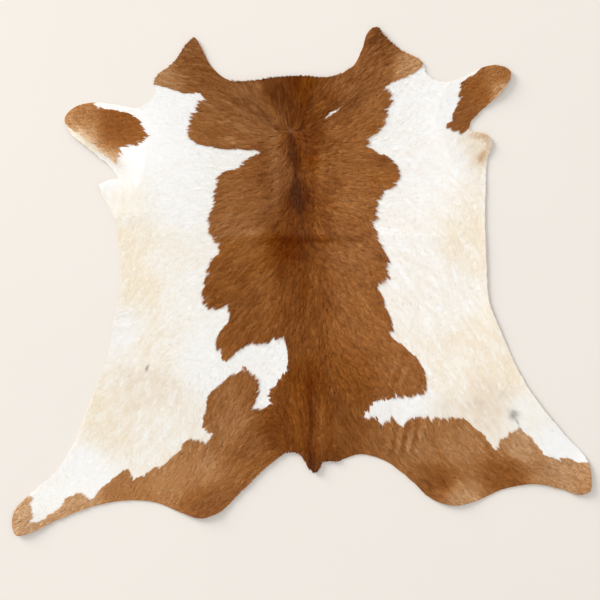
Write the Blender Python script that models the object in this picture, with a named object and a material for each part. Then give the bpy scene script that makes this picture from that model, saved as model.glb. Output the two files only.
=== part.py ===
"""Cowhide rug: one hair-on hide with the outline it was flayed to, lying hair side up.

The hide is a single sheet, so it is one closed solid: the tanned skin with the coat that lies on it.
Its underside is flat where it touches, and lifts a few millimetres at leg tips, creases and stretches of rim.
Frame: metres, +Z up, the neck towards +Y, origin on the floor under the middle of the hide's box.
"""

from collections import namedtuple
from math import ceil, cos, hypot, pi, radians, sin

import bmesh
import bpy
from mathutils import Vector

# Driving dimensions
SPAN = 1.000  # across the two hind-leg tips; the outline's tables are in thousandths of it
SKIN = 0.0018  # thickness of the tanned skin
COAT = 0.0030  # height of the lying coat on the back
FLANK_COAT = 0.0018  # height of the shorter coat on belly and legs
RIM_COAT = 0.0004  # what is left of the coat at the cut rim
RIM_TAPER = 0.012  # how far in from the rim the coat reaches its height
BACK_HALF_WIDTH = 0.190  # from the spine to where the coat is midway to the belly's
SPINE_RIDGE = 0.0006  # the coat stands a little higher along the spine
SPINE_RIDGE_HALF_WIDTH = 0.022
RIM_STEP = 0.008  # greatest distance between two points of the rim
CELL = 0.017  # side of the squares that the sheet is divided into
WELD = 0.0008  # points closer than this become one

THOUSANDTH = SPAN / 1000
MM = 0.001

Landmark = namedtuple("Landmark", "name x y flow")  # flow 1: the rim runs through in a curve, 0: it turns a corner
Lift = namedtuple("Lift", "name x y half_length half_width turn rise_mm")

NECK = (
    Landmark("middle of the neck cut", -3, 356, 1),
    Landmark("right of the neck cut", 47, 354, 1),
    Landmark("right cheek root", 87, 372, 1),
    Landmark("right cheek, inner side", 104, 403, 1),
    Landmark("right cheek, below the tip", 115, 433, 1),
    Landmark("right cheek tip", 128, 441, 1),
    Landmark("right cheek, past the tip", 141, 426, 1),
    Landmark("right cheek, outer side", 173, 399, 1),
    Landmark("right cheek, outer corner", 207, 380, 1),
    Landmark("right cheek, outer root", 214, 360, 1),
)
RIGHT_FRONT_LEG = (
    Landmark("hollow behind the cheek", 237, 346, 1),
    Landmark("upper edge, middle", 278, 354, 1),
    Landmark("upper edge, near the tip", 318, 373, 1),
    Landmark("crown of the tip", 336, 375, 1),
    Landmark("outer side of the tip", 361, 362, 1),
    Landmark("end of the tip", 358, 348, 1),
    Landmark("lower edge, near the tip", 346, 331, 1),
    Landmark("lower edge, middle", 311, 298, 1),
    Landmark("armpit, upper side", 290, 273, 1),
    Landmark("armpit", 290, 262, 0),
)
RIGHT_FLANK = (
    Landmark("elbow, upper side", 316, 257, 1),
    Landmark("elbow", 327, 246, 1),
    Landmark("below the elbow", 320, 210, 1),
    Landmark("chest", 316, 150, 1),
    Landmark("waist", 318, 40, 1),
    Landmark("belly", 324, -38, 1),
    Landmark("start of the thigh", 344, -88, 1),
    Landmark("upper thigh", 370, -147, 1),
    Landmark("thigh", 407, -207, 1),
    Landmark("lower thigh", 455, -266, 1),
)
RIGHT_HIND_LEG = (
    Landmark("above the tip", 496, -315, 1),
    Landmark("outer side of the tip", 500, -342, 1),
    Landmark("end of the tip", 498, -362, 1),
    Landmark("under side of the tip", 484, -368, 1),
    Landmark("under side, near the tip", 450, -359, 1),
    Landmark("under side, hollow", 405, -350, 1),
    Landmark("under side, middle", 350, -358, 1),
    Landmark("buttock, outer side", 298, -380, 1),
    Landmark("buttock, lowest point", 265, -387, 1),
    Landmark("buttock, inner side", 231, -379, 1),
    Landmark("slope to the tail", 182, -337, 1),
    Landmark("hollow beside the tail", 142, -309, 1),
    Landmark("root beside the tail", 100, -298, 1),
    Landmark("swell beside the tail", 62, -309, 1),
)
TAIL = (
    Landmark("right root", 34, -310, 0),
    Landmark("right of the tip", 28, -325, 1),
    Landmark("tip", 22, -330, 1),
    Landmark("left of the tip", 12, -322, 1),
    Landmark("left side", -3, -298, 1),
)
LEFT_HIND_LEG = (
    Landmark("hollow beside the tail", -22, -293, 1),
    Landmark("root beside the tail", -55, -314, 1),
    Landmark("slope from the tail", -105, -361, 1),
    Landmark("buttock, inner side", -144, -398, 1),
    Landmark("buttock, lowest point", -172, -409, 1),
    Landmark("buttock, outer side", -212, -398, 1),
    Landmark("under side, near the buttock", -252, -382, 1),
    Landmark("under side, hollow", -300, -378, 1),
    Landmark("under side, middle", -360, -388, 1),
    Landmark("under side, near the tip", -432, -415, 1),
    Landmark("under side of the tip", -479, -437, 1),
    Landmark("end of the tip", -494, -439, 1),
    Landmark("outer side of the tip", -501, -424, 1),
    Landmark("above the tip", -497, -396, 1),
)
LEFT_FLANK = (
    Landmark("lower thigh", -478, -374, 1),
    Landmark("thigh", -424, -327, 1),
    Landmark("upper thigh", -394, -277, 1),
    Landmark("start of the thigh", -370, -217, 1),
    Landmark("hip", -346, -156, 1),
    Landmark("belly", -329, -98, 1),
    Landmark("belly, lower fold", -327, -73, 1),
    Landmark("belly, upper fold", -323, -54, 1),
    Landmark("waist", -315, -20, 1),
    Landmark("chest", -316, 58, 1),
    Landmark("below the elbow", -327, 117, 1),
    Landmark("elbow, lower side", -345, 150, 1),
    Landmark("elbow", -353, 168, 0),
    Landmark("elbow, upper side", -336, 176, 1),
    Landmark("armpit", -317, 179, 0),
)
LEFT_FRONT_LEG = (
    Landmark("lower edge, near the armpit", -332, 199, 1),
    Landmark("lower edge, middle", -370, 231, 1),
    Landmark("lower edge, near the tip", -403, 261, 1),
    Landmark("end of the tip", -411, 283, 1),
    Landmark("crown of the tip", -396, 301, 1),
    Landmark("upper edge, near the tip", -366, 310, 1),
    Landmark("upper edge, middle", -316, 305, 1),
    Landmark("hollow before the cheek", -281, 301, 1),
    Landmark("left cheek, foot", -258, 322, 1),
    Landmark("left cheek, outer corner", -254, 352, 1),
    Landmark("left cheek, outer side", -222, 379, 1),
    Landmark("left cheek, below the tip", -196, 415, 1),
    Landmark("left cheek tip", -186, 423, 1),
    Landmark("left cheek, past the tip", -178, 411, 1),
    Landmark("left cheek, inner side", -155, 370, 1),
    Landmark("left cheek root", -128, 349, 1),
    Landmark("left of the neck cut", -92, 347, 1),
    Landmark("neck cut, near the middle", -50, 353, 1),
)
RIM = NECK + RIGHT_FRONT_LEG + RIGHT_FLANK + RIGHT_HIND_LEG + TAIL + LEFT_HIND_LEG + LEFT_FLANK + LEFT_FRONT_LEG

# Where the hide doesn't lie down: soft oval swells, in the same thousandths, turned anticlockwise in degrees.
LIFTS = (
    Lift("right cheek", 125, 445, 62, 40, 70, 3.0),
    Lift("left cheek", -192, 425, 62, 40, -60, 2.5),
    Lift("right front leg", 365, 350, 95, 55, 50, 5.0),
    Lift("left front leg, lower edge", -385, 236, 105, 38, 140, 5.0),
    Lift("right elbow", 330, 245, 55, 30, 95, 3.0),
    Lift("left elbow", -358, 165, 42, 30, 30, 2.5),
    Lift("right flank", 334, 30, 200, 34, 92, 2.5),
    Lift("left flank", -330, -30, 120, 26, 85, 1.6),
    Lift("right hind leg", 512, -350, 100, 60, 70, 5.5),
    Lift("right thigh", 430, -215, 110, 34, 128, 3.0),
    Lift("right buttock", 268, -402, 75, 46, 0, 4.5),
    Lift("left buttock", -172, -420, 70, 46, 5, 4.0),
    Lift("left hind leg", -505, -430, 105, 55, 40, 5.0),
    Lift("tail", 22, -340, 40, 30, 80, 2.5),
    Lift("fold across the back", -20, 77, 235, 17, 1, 1.2),
    Lift("fold on the left belly", -300, 112, 62, 15, 4, 1.4),
    Lift("right rump, first rib", 182, -262, 48, 17, 72, 1.6),
    Lift("right rump, second rib", 216, -268, 44, 16, 74, 1.3),
)


def unit(vector):
    """The vector at length 1, or the vector itself where it has no length."""
    return vector.normalized() if vector.length > 0 else vector


def rim_points(marks, step):
    """Points at most a step apart on one closed curve through the landmarks."""
    places = [Vector((mark.x, mark.y)) * THOUSANDTH for mark in marks]
    count = len(places)
    points = []
    for i, (mark, start) in enumerate(zip(marks, places)):
        before, end, after = places[i - 1], places[(i + 1) % count], places[(i + 2) % count]
        chord = end - start
        length = chord.length
        leave, arrive = unit(chord), unit(chord)
        if mark.flow:
            leave = through(before, start, end)
        if marks[(i + 1) % count].flow:
            arrive = through(start, end, after)
        pieces = ceil(length / step)
        for n in range(pieces):
            t = n / pieces
            points.append(
                start * (1 + 2 * t) * (1 - t) ** 2
                + leave * length * t * (1 - t) ** 2
                + end * (3 - 2 * t) * t**2
                + arrive * length * (t - 1) * t**2
            )
    return points


def through(before, here, after):
    """Direction of a curve at its middle point of three, steered most by the nearer neighbour."""
    incoming, outgoing = here - before, after - here
    near, far = incoming.length, outgoing.length
    return (unit(incoming) * far + unit(outgoing) * near) / (near + far)


def fitted(points):
    """The points scaled so that their box is as wide as the span, and moved so that its middle is the origin."""
    xs = [p.x for p in points]
    ys = [p.y for p in points]
    middle = Vector((min(xs) + max(xs), min(ys) + max(ys))) / 2
    return [(p - middle) * SPAN / (max(xs) - min(xs)) for p in points]


def smooth(t):
    """0 to 1 with a soft start and end."""
    t = min(1.0, max(0.0, t))
    return t * t * (3 - 2 * t)


def lift(x, y):
    """Height of the underside over the floor."""
    height = 0.0
    for swell in LIFTS:
        dx = x - swell.x * THOUSANDTH
        dy = y - swell.y * THOUSANDTH
        turn = radians(swell.turn)
        along = (dx * cos(turn) + dy * sin(turn)) / (swell.half_length * THOUSANDTH)
        across = (dy * cos(turn) - dx * sin(turn)) / (swell.half_width * THOUSANDTH)
        away = hypot(along, across)
        if away < 1:
            height = max(height, swell.rise_mm * MM * cos(away * pi / 2) ** 2)
    return height


def coat(x, y, from_rim):
    """Height of the lying coat over the skin: long on the back, short on the belly, least at the rim."""
    back = 1 - smooth(abs(x) / BACK_HALF_WIDTH - 0.5)
    full = FLANK_COAT + (COAT - FLANK_COAT) * back
    full += SPINE_RIDGE * (1 - smooth(abs(x) / SPINE_RIDGE_HALF_WIDTH))
    return RIM_COAT + (full - RIM_COAT) * smooth(from_rim / RIM_TAPER)


def distance_to_rim(x, y, rim):
    """Shortest distance from a place on the sheet to the rim."""
    here = Vector((x, y))
    nearest = SPAN
    for start, end in zip(rim, rim[1:] + rim[:1]):
        run = end - start
        t = min(1.0, max(0.0, (here - start).dot(run) / run.length_squared))
        nearest = min(nearest, (start + run * t - here).length)
    return nearest


def divide(sheet, size):
    """Cuts the flat sheet into squares, so that it can take a relief."""
    for axis in (Vector((1, 0, 0)), Vector((0, 1, 0))):
        reach = max(v.co.dot(axis) for v in sheet.verts)
        lines = int(reach / size)
        for n in range(-lines, lines + 1):
            everything = sheet.verts[:] + sheet.edges[:] + sheet.faces[:]
            bmesh.ops.bisect_plane(sheet, geom=everything, dist=WELD, plane_co=axis * n * size, plane_no=axis)
    bmesh.ops.remove_doubles(sheet, verts=sheet.verts, dist=WELD)


def hide_mesh():
    """The whole hide: a flat sheet on its rim, divided, thickened, then given its relief."""
    rim = fitted(rim_points(RIM, RIM_STEP))
    sheet = bmesh.new()
    corners = [sheet.verts.new((p.x, p.y, 0)) for p in rim]
    sheet.faces.new(corners)
    divide(sheet, CELL)
    bmesh.ops.recalc_face_normals(sheet, faces=sheet.faces)
    if sum(face.normal.z * face.calc_area() for face in sheet.faces) > 0:
        bmesh.ops.reverse_faces(sheet, faces=sheet.faces)

    under = sheet.verts[:]
    raised = bmesh.ops.extrude_face_region(sheet, geom=sheet.faces[:], use_keep_orig=True)
    top = [item for item in raised["geom"] if isinstance(item, bmesh.types.BMVert)]
    for vert in under:
        vert.co.z = lift(vert.co.x, vert.co.y)
    for vert in top:
        x, y = vert.co.x, vert.co.y
        vert.co.z = lift(x, y) + SKIN + coat(x, y, distance_to_rim(x, y, rim))
    bmesh.ops.triangulate(sheet, faces=sheet.faces)
    bmesh.ops.recalc_face_normals(sheet, faces=sheet.faces)

    mesh = bpy.data.meshes.new("hide")
    sheet.to_mesh(mesh)
    sheet.free()
    return mesh


def hide_material():
    """Chestnut hair, dull with a slight gloss."""
    material = bpy.data.materials.new("hide")
    material.use_nodes = True
    shader = material.node_tree.nodes["Principled BSDF"]
    shader.inputs["Base Color"].default_value = (0.30, 0.115, 0.040, 1)
    shader.inputs["Roughness"].default_value = 0.6
    shader.inputs["Metallic"].default_value = 0.0
    return material


def clear_scene():
    """Removes what a new file starts with."""
    for thing in list(bpy.data.objects):
        bpy.data.objects.remove(thing)


clear_scene()
hide = bpy.data.objects.new("hide", hide_mesh())
bpy.context.collection.objects.link(hide)
hide.data.materials.append(hide_material())
hide.data.shade_smooth()
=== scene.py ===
from collections import namedtuple

import bmesh
import bpy
import numpy as np
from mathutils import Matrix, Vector
from mathutils.bvhtree import BVHTree


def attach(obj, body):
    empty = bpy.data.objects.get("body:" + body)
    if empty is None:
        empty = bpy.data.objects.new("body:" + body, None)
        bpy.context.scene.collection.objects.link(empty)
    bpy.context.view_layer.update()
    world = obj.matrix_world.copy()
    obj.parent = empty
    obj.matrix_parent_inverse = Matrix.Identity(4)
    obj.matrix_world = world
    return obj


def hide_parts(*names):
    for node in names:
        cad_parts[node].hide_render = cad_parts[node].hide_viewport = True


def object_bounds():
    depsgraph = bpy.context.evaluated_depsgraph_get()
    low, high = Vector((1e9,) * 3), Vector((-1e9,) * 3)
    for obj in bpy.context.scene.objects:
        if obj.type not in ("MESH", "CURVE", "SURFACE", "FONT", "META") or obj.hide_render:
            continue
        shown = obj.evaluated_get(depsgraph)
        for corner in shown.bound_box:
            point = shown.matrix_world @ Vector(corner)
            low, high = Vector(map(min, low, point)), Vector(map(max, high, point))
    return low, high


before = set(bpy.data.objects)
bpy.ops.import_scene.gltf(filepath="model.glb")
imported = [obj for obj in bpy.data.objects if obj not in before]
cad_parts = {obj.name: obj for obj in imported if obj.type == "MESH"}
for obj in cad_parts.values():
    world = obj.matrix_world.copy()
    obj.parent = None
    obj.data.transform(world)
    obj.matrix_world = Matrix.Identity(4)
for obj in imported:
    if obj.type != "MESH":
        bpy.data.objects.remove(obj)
cad_low, cad_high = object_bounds()
bpy.ops.object.select_all(action="DESELECT")


# The floor's side of the hide. The real hide is limp and lies flat, but its rim, leg tips and a few old
# folds stand off the floor. The frame's solid holds the broad swells, and the sharp folds are laid on here.

MM = 0.001
PLAN_MARGIN = 24 * MM
FINE_STEP = 1 * MM
BROAD_STEP = 4 * MM

plan_low = np.array((cad_low.x, cad_low.y)) - PLAN_MARGIN
plan_high = np.array((cad_high.x, cad_high.y)) + PLAN_MARGIN


def plan_points(step):
    """Two charts over the hide's plan, with the x and the y of their own points."""
    columns, rows = (int(n) for n in np.ceil((plan_high - plan_low) / step) + 1)
    across = np.linspace(plan_low[0], plan_high[0], columns)
    along = np.linspace(plan_low[1], plan_high[1], rows)
    return np.meshgrid(across, along)


def read(chart, x, y):
    """What a chart says at any place, from the four points around it."""
    rows, columns = chart.shape
    column = (x - plan_low[0]) / (plan_high[0] - plan_low[0]) * (columns - 1)
    row = (y - plan_low[1]) / (plan_high[1] - plan_low[1]) * (rows - 1)
    column = np.clip(column, 0, columns - 1.001)
    row = np.clip(row, 0, rows - 1.001)
    left = np.asarray(column).astype(np.int32)
    near = np.asarray(row).astype(np.int32)
    right_share = column - left
    far_share = row - near
    near_row = chart[near, left] * (1 - right_share) + chart[near, left + 1] * right_share
    far_row = chart[near + 1, left] * (1 - right_share) + chart[near + 1, left + 1] * right_share
    return near_row * (1 - far_share) + far_row * far_share


def softened(chart, rounds):
    """The chart with each point drawn towards its neighbours."""
    for _ in range(rounds):
        edged = np.pad(chart, 1, mode="edge")
        rows = (edged[:-2] + 2 * edged[1:-1] + edged[2:]) / 4
        chart = (rows[:, :-2] + 2 * rows[:, 1:-1] + rows[:, 2:]) / 4
    return chart


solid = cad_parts["hide"]
solid_shape = bmesh.new()
solid_shape.from_mesh(solid.data)
solid_tree = BVHTree.FromBMesh(solid_shape)
solid_shape.free()

broad_x, broad_y = plan_points(BROAD_STEP)
lie = np.full(broad_x.shape, np.nan)
for place in np.ndindex(lie.shape):
    start = Vector((broad_x[place], broad_y[place], cad_low.z - 1))
    hit = solid_tree.ray_cast(start, Vector((0, 0, 1)))[0]
    if hit is not None:
        lie[place] = hit.z

# Beyond the rim the lie carries on at the rim's height, so that overhanging hair has something to follow.
STEPS_PAST_RIM = 5
for _ in range(STEPS_PAST_RIM):
    known = ~np.isnan(lie)
    share = softened(known.astype(float), 1)
    spread = softened(np.where(known, lie, 0), 1)
    lie = np.where(known, lie, np.where(share > 0, spread / np.maximum(share, 1e-9), np.nan))
lie = softened(np.nan_to_num(lie), 3)

Crease = namedtuple("Crease", "name x y half_length half_width turn rise")
CREASES = (
    Crease("fold across the back, left", -45, 76, 75, 4.5, 2, 1.6),
    Crease("fold across the back, right", 60, 79, 80, 4.5, -1, 1.0),
    Crease("fold, left flank", -215, 83, 80, 7, 3, 0.6),
    Crease("fold, right flank", 215, 78, 75, 7, 0, 0.5),
    Crease("left belly pinch", -298, 112, 34, 6.5, 3, 0.8),
    Crease("left belly, lower pinch", -308, -55, 22, 4, 4, 1.1),
    Crease("left belly, lowest pinch", -306, -75, 22, 4, -6, 1.0),
    Crease("right rump, first rib", 156, -268, 26, 4, 78, 1.5),
    Crease("right rump, second rib", 173, -272, 30, 4, 76, 1.9),
    Crease("right rump, third rib", 189, -274, 30, 4, 76, 1.9),
    Crease("right rump, fourth rib", 205, -272, 26, 4, 74, 1.5),
    Crease("ridge before the tail", 34, -260, 46, 8, 90, 1.6),
    Crease("right hip, first ripple", 160, -150, 22, 4, 62, 0.9),
    Crease("right hip, second ripple", 178, -158, 22, 4, 62, 0.9),
    Crease("right rump, outer swell", 262, -366, 24, 8, 35, 1.2),
    Crease("left rump swell", -176, -352, 55, 18, 20, 1.2),
    Crease("right cheek root", 96, 366, 34, 9, 62, 0.9),
    Crease("left cheek root", -150, 352, 30, 9, -52, 0.8),
    Crease("right armpit", 292, 236, 32, 6, 30, 1.0),
    Crease("left armpit", -330, 150, 30, 6, -40, 0.7),
    Crease("left buttock rim", -170, -402, 50, 12, 0, 1.6),
    Crease("right buttock rim", 250, -376, 45, 12, 0, 1.4),
    Crease("right hind leg, lower rim", 410, -350, 70, 10, -8, 1.2),
)


def spindle(row, x, y):
    """1 on the middle of a long mark given in millimetres, falling off softly to its sides and ends."""
    turn = np.radians(row.turn)
    dx = x / MM - row.x
    dy = y / MM - row.y
    along = (dx * np.cos(turn) + dy * np.sin(turn)) / row.half_length
    across = (dy * np.cos(turn) - dx * np.sin(turn)) / row.half_width
    return np.exp(-(across**2) - np.abs(along) ** 3)


def creases_at(x, y):
    """How far the listed creases raise the skin at places given in metres."""
    height = np.zeros_like(x)
    for crease in CREASES:
        height += crease.rise * MM * spindle(crease, x, y)
    return height


# The skin: tanned leather a little under two millimetres thick, suede below, the hair's roots above, with a
# clean knife-cut rim. It is one sheet with nothing sewn to it, so it starts as the solid's own underside.

SKIN_THICKNESS = 1.8 * MM
SKIN_CELL = 5.5 * MM
WELD = 0.05 * MM
CUT_TOLERANCE = 0.02 * MM
SHORTEST_EDGE = 0.4 * MM
ALMOST_FLAT = 0.02
CUT_CORNER = 0.9

skin_mesh = solid.data.copy()
skin_mesh.name = "skin"
skin_mesh.materials.clear()
skin = bpy.data.objects.new("skin", skin_mesh)
bpy.context.scene.collection.objects.link(skin)
bpy.context.view_layer.objects.active = skin
skin.select_set(True)
bpy.ops.mesh.customdata_custom_splitnormals_clear()
bpy.ops.object.mode_set(mode="EDIT")
bpy.ops.mesh.select_all(action="SELECT")
bpy.ops.mesh.remove_doubles(threshold=WELD)
bpy.ops.mesh.select_all(action="DESELECT")
bpy.ops.object.mode_set(mode="OBJECT")
for point in skin_mesh.vertices:
    point.select = bool(point.co.z > read(lie, point.co.x, point.co.y) + SKIN_THICKNESS / 2)
bpy.ops.object.mode_set(mode="EDIT")
bpy.ops.mesh.delete(type="VERT")
bpy.ops.mesh.select_all(action="SELECT")
bpy.ops.transform.resize(value=(1, 1, 0), center_override=(0, 0, 0))
bpy.ops.mesh.dissolve_limited(angle_limit=ALMOST_FLAT)
bpy.ops.mesh.normals_make_consistent()
bpy.ops.object.mode_set(mode="OBJECT")

# Flattened and dissolved, the underside is one face, whose corners follow the knife's cut.
rim = np.array([skin_mesh.vertices[corner].co.xy for corner in skin_mesh.polygons[0].vertices])
bpy.ops.object.mode_set(mode="EDIT")
bpy.ops.mesh.select_all(action="SELECT")
if skin_mesh.polygons[0].normal.z < 0:
    bpy.ops.mesh.flip_normals()
for axis, far in (((1, 0, 0), cad_high.x), ((0, 1, 0), cad_high.y)):
    for distance in np.arange(-far + SKIN_CELL, far, SKIN_CELL):
        bpy.ops.mesh.select_all(action="SELECT")
        cut_at = [part * float(distance) for part in axis]
        bpy.ops.mesh.bisect(plane_co=cut_at, plane_no=axis, threshold=CUT_TOLERANCE)
bpy.ops.mesh.select_all(action="SELECT")
bpy.ops.mesh.remove_doubles(threshold=SHORTEST_EDGE)
bpy.ops.object.mode_set(mode="OBJECT")

count = len(skin_mesh.vertices)
places = np.empty(count * 3)
skin_mesh.vertices.foreach_get("co", places)
places = places.reshape(-1, 3)
places[:, 2] = read(lie, places[:, 0], places[:, 1]) + creases_at(places[:, 0], places[:, 1])
skin_mesh.vertices.foreach_set("co", places.ravel())
skin_mesh.update()


def filled(outline):
    """A fine chart that is 1 inside a closed outline, given in metres, and 0 outside."""
    chart = np.zeros(fine_x.shape)
    ends = np.roll(outline, -1, axis=0)
    for row, y in enumerate(fine_y[:, 0]):
        crossing = (outline[:, 1] > y) != (ends[:, 1] > y)
        starts, stops = outline[crossing], ends[crossing]
        rise = (y - starts[:, 1]) / (stops[:, 1] - starts[:, 1])
        x = starts[:, 0] + (stops[:, 0] - starts[:, 0]) * rise
        chart[row] = (fine_x[0][None, :] > x[:, None]).sum(axis=0) % 2
    return chart


fine_x, fine_y = plan_points(FINE_STEP)
within_rim = softened(filled(rim), 3)


# The markings: one chestnut saddle from the neck to the rump and the hind legs, and a patch on each front
# leg, on a white coat. Places are in millimetres from the hide's middle, read where the hair tips show.

SADDLE_LEFT_EDGE = (
    # past the left cheek
    (-300, 470), (-300, 342), (-256, 340), (-236, 336), (-219, 329), (-204, 325), (-188, 328), (-176, 325),
    # shoulder
    (-167, 315), (-178, 308), (-183, 296), (-190, 288), (-196, 261), (-194, 249), (-183, 238), (-162, 233),
    # white wedge towards the withers
    (-138, 229), (-119, 229), (-70, 226), (-91, 213), (-102, 204), (-114, 195), (-133, 189), (-147, 179),
    # ribs
    (-148, 165), (-152, 140), (-157, 121), (-163, 90), (-155, 75), (-141, 54), (-143, 46), (-159, 35),
    (-163, 18), (-172, -15), (-169, -41), (-161, -48), (-147, -48), (-128, -39), (-123, -55), (-126, -69),
    # loin
    (-138, -84), (-148, -100), (-147, -114), (-138, -126), (-126, -133), (-115, -124), (-95, -110),
    # white bay behind the loin
    (-76, -108), (-55, -105), (-39, -96), (-26, -108), (-23, -134), (-26, -160), (-39, -177), (-49, -190),
    (-50, -214), (-72, -222), (-86, -220), (-72, -190), (-74, -174), (-82, -165),
    # hip
    (-98, -153), (-121, -162), (-141, -179), (-158, -193), (-166, -222), (-169, -241), (-161, -257),
    (-147, -257), (-155, -267), (-166, -283), (-174, -276), (-191, -274), (-200, -276),
    # thigh, down to the left hind leg
    (-210, -292), (-224, -304), (-237, -316), (-257, -324), (-276, -336), (-292, -342), (-295, -333),
    (-302, -323), (-314, -331), (-328, -343), (-347, -359), (-359, -373), (-364, -381), (-371, -375),
    (-378, -368), (-389, -366), (-406, -374), (-413, -388), (-428, -400), (-445, -409), (-459, -419),
    (-463, -416), (-466, -400), (-471, -385), (-466, -374), (-480, -360), (-540, -360), (-540, -470),
)
SADDLE_RIGHT_EDGE = (
    # past the right cheek
    (300, 470), (240, 385), (211, 375), (196, 362), (180, 352), (159, 346), (142, 337), (151, 327),
    # shoulder
    (156, 314), (151, 296), (142, 276), (144, 270), (132, 258), (113, 246), (116, 234), (126, 223),
    (145, 217), (163, 203), (169, 187), (161, 166), (142, 156),
    # ribs
    (133, 142), (129, 130), (131, 111), (120, 101), (128, 87), (131, 71), (142, 51), (152, 32), (144, 25),
    (151, 6), (142, -3), (128, -8), (139, -25), (144, -48), (158, -68), (156, -86), (149, -88),
    # loin
    (163, -106), (182, -119), (199, -134), (211, -155), (215, -177), (213, -193), (192, -198), (163, -200),
    (139, -200), (123, -203), (113, -219), (100, -234), (114, -238), (129, -234), (140, -250), (156, -236),
    # hip and thigh, down to the right hind leg
    (169, -250), (192, -236), (215, -236), (247, -238), (279, -236), (294, -250), (315, -266), (323, -281),
    (337, -296), (342, -276), (355, -266), (374, -255), (394, -267), (406, -283), (413, -298), (437, -307),
    (457, -304), (473, -312), (484, -314), (492, -305), (540, -290), (540, -470),
)
LEFT_LEG_PATCH = (
    (-356, 330), (-356, 308), (-354, 298), (-337, 296), (-311, 293), (-290, 286), (-278, 275), (-272, 258),
    (-265, 251), (-276, 240), (-290, 234), (-319, 232), (-305, 220), (-320, 214), (-321, 203), (-346, 225),
    (-373, 247), (-394, 262), (-412, 272), (-440, 280), (-440, 330),
)
RIGHT_LEG_PATCH = (
    (304, 400), (310, 367), (296, 354), (275, 343), (272, 327), (273, 314), (265, 298), (258, 278),
    (249, 267), (261, 261), (275, 253), (285, 261), (292, 268), (330, 280), (410, 330), (410, 400),
)
saddle = SADDLE_LEFT_EDGE + SADDLE_RIGHT_EDGE[::-1]
brown = np.zeros(fine_x.shape)
for patch in (saddle, LEFT_LEG_PATCH, RIGHT_LEG_PATCH):
    brown = np.maximum(brown, filled(np.array(patch) * MM))

# Small marks that break a patch: a fleck of white hair in the brown, and dark, grey or tan ones in the white.
Mark = namedtuple("Mark", "name x y half_length half_width turn ash tan")
WHITE_FLECK = Mark("white fleck in the neck", 56, 292, 17, 3, 34, 0, 0)
SMALL_MARKS = (
    Mark("dark spot on the left flank", -267, -149, 4.5, 1.4, 80, 1.0, 0),
    Mark("dark streak above the right thigh", 375, -250, 10, 1.6, 110, 0.9, 0),
    Mark("grey spot above the right thigh", 366, -231, 9, 8.5, 60, 0.62, 0),
    Mark("faint streak by the right thigh", 344, -196, 12, 2.5, 50, 0.16, 0),
    Mark("tan edge of the left leg patch", -356, 239, 56, 8, -42, 0, 0.75),
    Mark("tan rim over the right armpit", 306, 250, 20, 4.5, -6, 0, 0.85),
    Mark("tan rim beside the right armpit", 321, 236, 16, 4.5, -72, 0, 0.7),
    Mark("tan patch under the right armpit", 311, 215, 12, 7, 62, 0, 1.0),
)


# The lie of the coat: hair parts at a whorl on the withers, runs out and back over the ribs, up the neck,
# and up the legs towards the body. Each row says which way the hair points there, anticlockwise from +X.

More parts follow.
